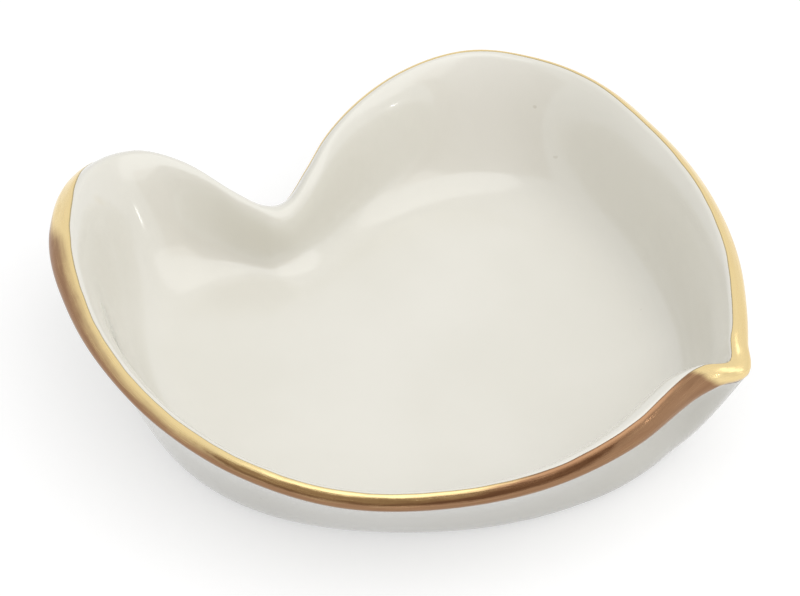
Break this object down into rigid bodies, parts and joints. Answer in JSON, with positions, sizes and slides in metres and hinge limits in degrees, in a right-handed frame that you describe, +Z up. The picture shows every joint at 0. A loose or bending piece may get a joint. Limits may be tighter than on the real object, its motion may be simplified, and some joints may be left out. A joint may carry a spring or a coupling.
{
  "type": "ring dish",
  "caption": "Shallow heart-shaped porcelain dish with flared walls, a low foot ring and a gilded lip, for holding rings and small jewellery.",
  "frame": {"origin": "middle of the dish's outline, on the surface that it stands on", "axes": "+Z up, +Y from the tip towards the cleft between the lobes, +X towards the lobe on the right when the tip points at the viewer"},
  "size_m": [0.1104, 0.11, 0.0262],
  "materials": {
    "porcelain": "fired",
    "bare_porcelain": "unglazed, matt",
    "glaze": "glossy",
    "foot_well_glaze": "glossy",
    "gold": "burnished gold lustre"
  },
  "bodies": {
    "root": {"porcelain_body": "porcelain", "foot_ring": "bare_porcelain", "glaze_coat": "glaze", "foot_well_glaze": "foot_well_glaze", "gold_rim": "gold"}
  },
  "joints": []
}
